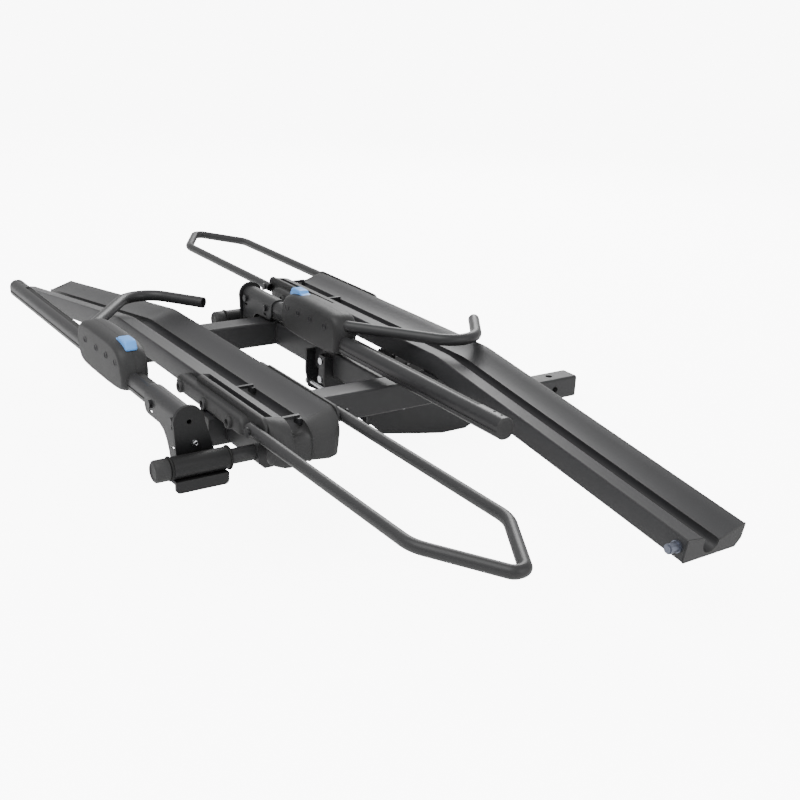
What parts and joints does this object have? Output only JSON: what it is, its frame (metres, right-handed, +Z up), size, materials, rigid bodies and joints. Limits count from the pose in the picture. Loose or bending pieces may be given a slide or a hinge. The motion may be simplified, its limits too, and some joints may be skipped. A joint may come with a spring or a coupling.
{
  "type": "hitch mounted bike rack",
  "caption": "Folding platform rack for bicycles on a square receiver tongue, with bent wheel trays, folding wheel hoops and ratcheting hook arms with thumb buttons.",
  "frame": {"origin": "centre of the hitch pin hole, on the axis of the square tongue", "axes": "+X across the vehicle along the trays, +Y along the tongue into the receiver, +Z up"},
  "size_m": [1.8872, 1.178, 0.322],
  "materials": {
    "satin_steel": "satin black powder coat",
    "zinc_steel": "zinc plated",
    "dark_fastener": "black oxide",
    "tray_alloy": "dark anodised, satin",
    "bar_alloy": "dark anodised",
    "moulded": "fine textured moulding",
    "grip_shell": "fine textured moulding",
    "soft_ring": "dull black",
    "blue_button": "light blue, semi gloss",
    "lock_metal": "dark plated"
  },
  "bodies": {
    "hitch": {"hitch_tongue": "satin_steel", "tilt_plates": "satin_steel", "tongue_gusset": "satin_steel", "pivot_bolt": "zinc_steel", "pivot_nut": "zinc_steel", "pivot_bush": "zinc_steel"},
    "rack": {"beam_left": "satin_steel", "beam_right": "satin_steel", "cross_beam": "satin_steel", "beam_end_plugs": "moulded", "spine_plates": "satin_steel", "post_tube": "satin_steel", "post_bolts": "zinc_steel", "lock_pin_housing": "satin_steel", "tray_a": "tray_alloy", "tray_b": "tray_alloy", "tray_end_caps": "moulded", "wheel_cap_a": "moulded", "wheel_cap_b": "moulded", "hoop_mounts_a": "moulded", "hoop_mounts_b": "moulded", "hoop_pivot_pins": "dark_fastener", "groove_clips": "dark_fastener", "tray_bolts": "zinc_steel", "strap_anchors": "moulded", "axle_shafts": "satin_steel", "axle_plugs": "moulded", "axle_rings": "soft_ring", "axle_brackets": "satin_steel", "cable_lock": "lock_metal"},
    "lock_pin": {"tilt_lock_pin": "zinc_steel", "tilt_lock_spring": "zinc_steel"},
    "arm_a": {"arm_base_a": "satin_steel", "arm_channel_a": "satin_steel", "arm_bar_a": "bar_alloy", "ratchet_strip_a": "moulded", "bar_cap_a": "moulded", "arm_bolts_a": "dark_fastener"},
    "grip_a": {"grip_near_a": "grip_shell", "grip_far_a": "grip_shell", "grip_screws_a": "dark_fastener", "hook_a": "satin_steel"},
    "button_a": {"release_button_a": "blue_button"},
    "pawl_a": {"pawl_a": "zinc_steel"},
    "hoop_a": {"hoop_a": "satin_steel"},
    "arm_b": {"arm_base_b": "satin_steel", "arm_channel_b": "satin_steel", "arm_bar_b": "bar_alloy", "ratchet_strip_b": "moulded", "bar_cap_b": "moulded", "arm_bolts_b": "dark_fastener"},
    "grip_b": {"grip_near_b": "grip_shell", "grip_far_b": "grip_shell", "grip_screws_b": "dark_fastener", "hook_b": "satin_steel"},
    "button_b": {"release_button_b": "blue_button"},
    "pawl_b": {"pawl_b": "zinc_steel"},
    "hoop_b": {"hoop_b": "satin_steel"}
  },
  "joints": [
    {"name": "rack_tilt", "type": "hinge", "parent": "hitch", "child": "rack", "pos_m": [0, -0.42, 0.075], "axis": [-1, 0, 0], "range_deg": [-20, 90]},
    {"name": "lock_pin_pull", "type": "slide", "parent": "rack", "child": "lock_pin", "axis": [1, 0, 0], "range_m": [0, 0.012], "stiffness_N_per_m": 1500, "springref_m": -0.006},
    {"name": "arm_fold_a", "type": "hinge", "parent": "rack", "child": "arm_a", "pos_m": [0.348, -1.04, 0.153], "axis": [0, 1, 0], "range_deg": [0, 100]},
    {"name": "grip_slide_a", "type": "slide", "parent": "arm_a", "child": "grip_a", "axis": [-1, 0, 0], "range_m": [-0.06, 0.42]},
    {"name": "button_press_a", "type": "slide", "parent": "grip_a", "child": "button_a", "axis": [0, 0, -1], "range_m": [0, 0.004], "stiffness_N_per_m": 600, "springref_m": -0.008},
    {"name": "pawl_lift_a", "type": "slide", "parent": "grip_a", "child": "pawl_a", "axis": [0, 0, 1], "range_m": [0, 0.004]},
    {"name": "hoop_fold_a", "type": "hinge", "parent": "rack", "child": "hoop_a", "pos_m": [0.384, -0.882, 0.205], "axis": [0, -1, 0], "range_deg": [0, 100]},
    {"name": "arm_fold_b", "type": "hinge", "parent": "rack", "child": "arm_b", "pos_m": [-0.348, -0.61, 0.153], "axis": [0, -1, 0], "range_deg": [0, 100]},
    {"name": "grip_slide_b", "type": "slide", "parent": "arm_b", "child": "grip_b", "axis": [1, 0, 0], "range_m": [-0.03, 0.45]},
    {"name": "button_press_b", "type": "slide", "parent": "grip_b", "child": "button_b", "axis": [0, 0, -1], "range_m": [0, 0.004], "stiffness_N_per_m": 600, "springref_m": -0.008},
    {"name": "pawl_lift_b", "type": "slide", "parent": "grip_b", "child": "pawl_b", "axis": [0, 0, 1], "range_m": [0, 0.004]},
    {"name": "hoop_fold_b", "type": "hinge", "parent": "rack", "child": "hoop_b", "pos_m": [-0.384, -0.452, 0.205], "axis": [0, 1, 0], "range_deg": [0, 100]}
  ],
  "couplings": [
    {"joint": "pawl_lift_a", "follows": "button_press_a", "ratio": 1},
    {"joint": "pawl_lift_b", "follows": "button_press_b", "ratio": 1}
  ]
}
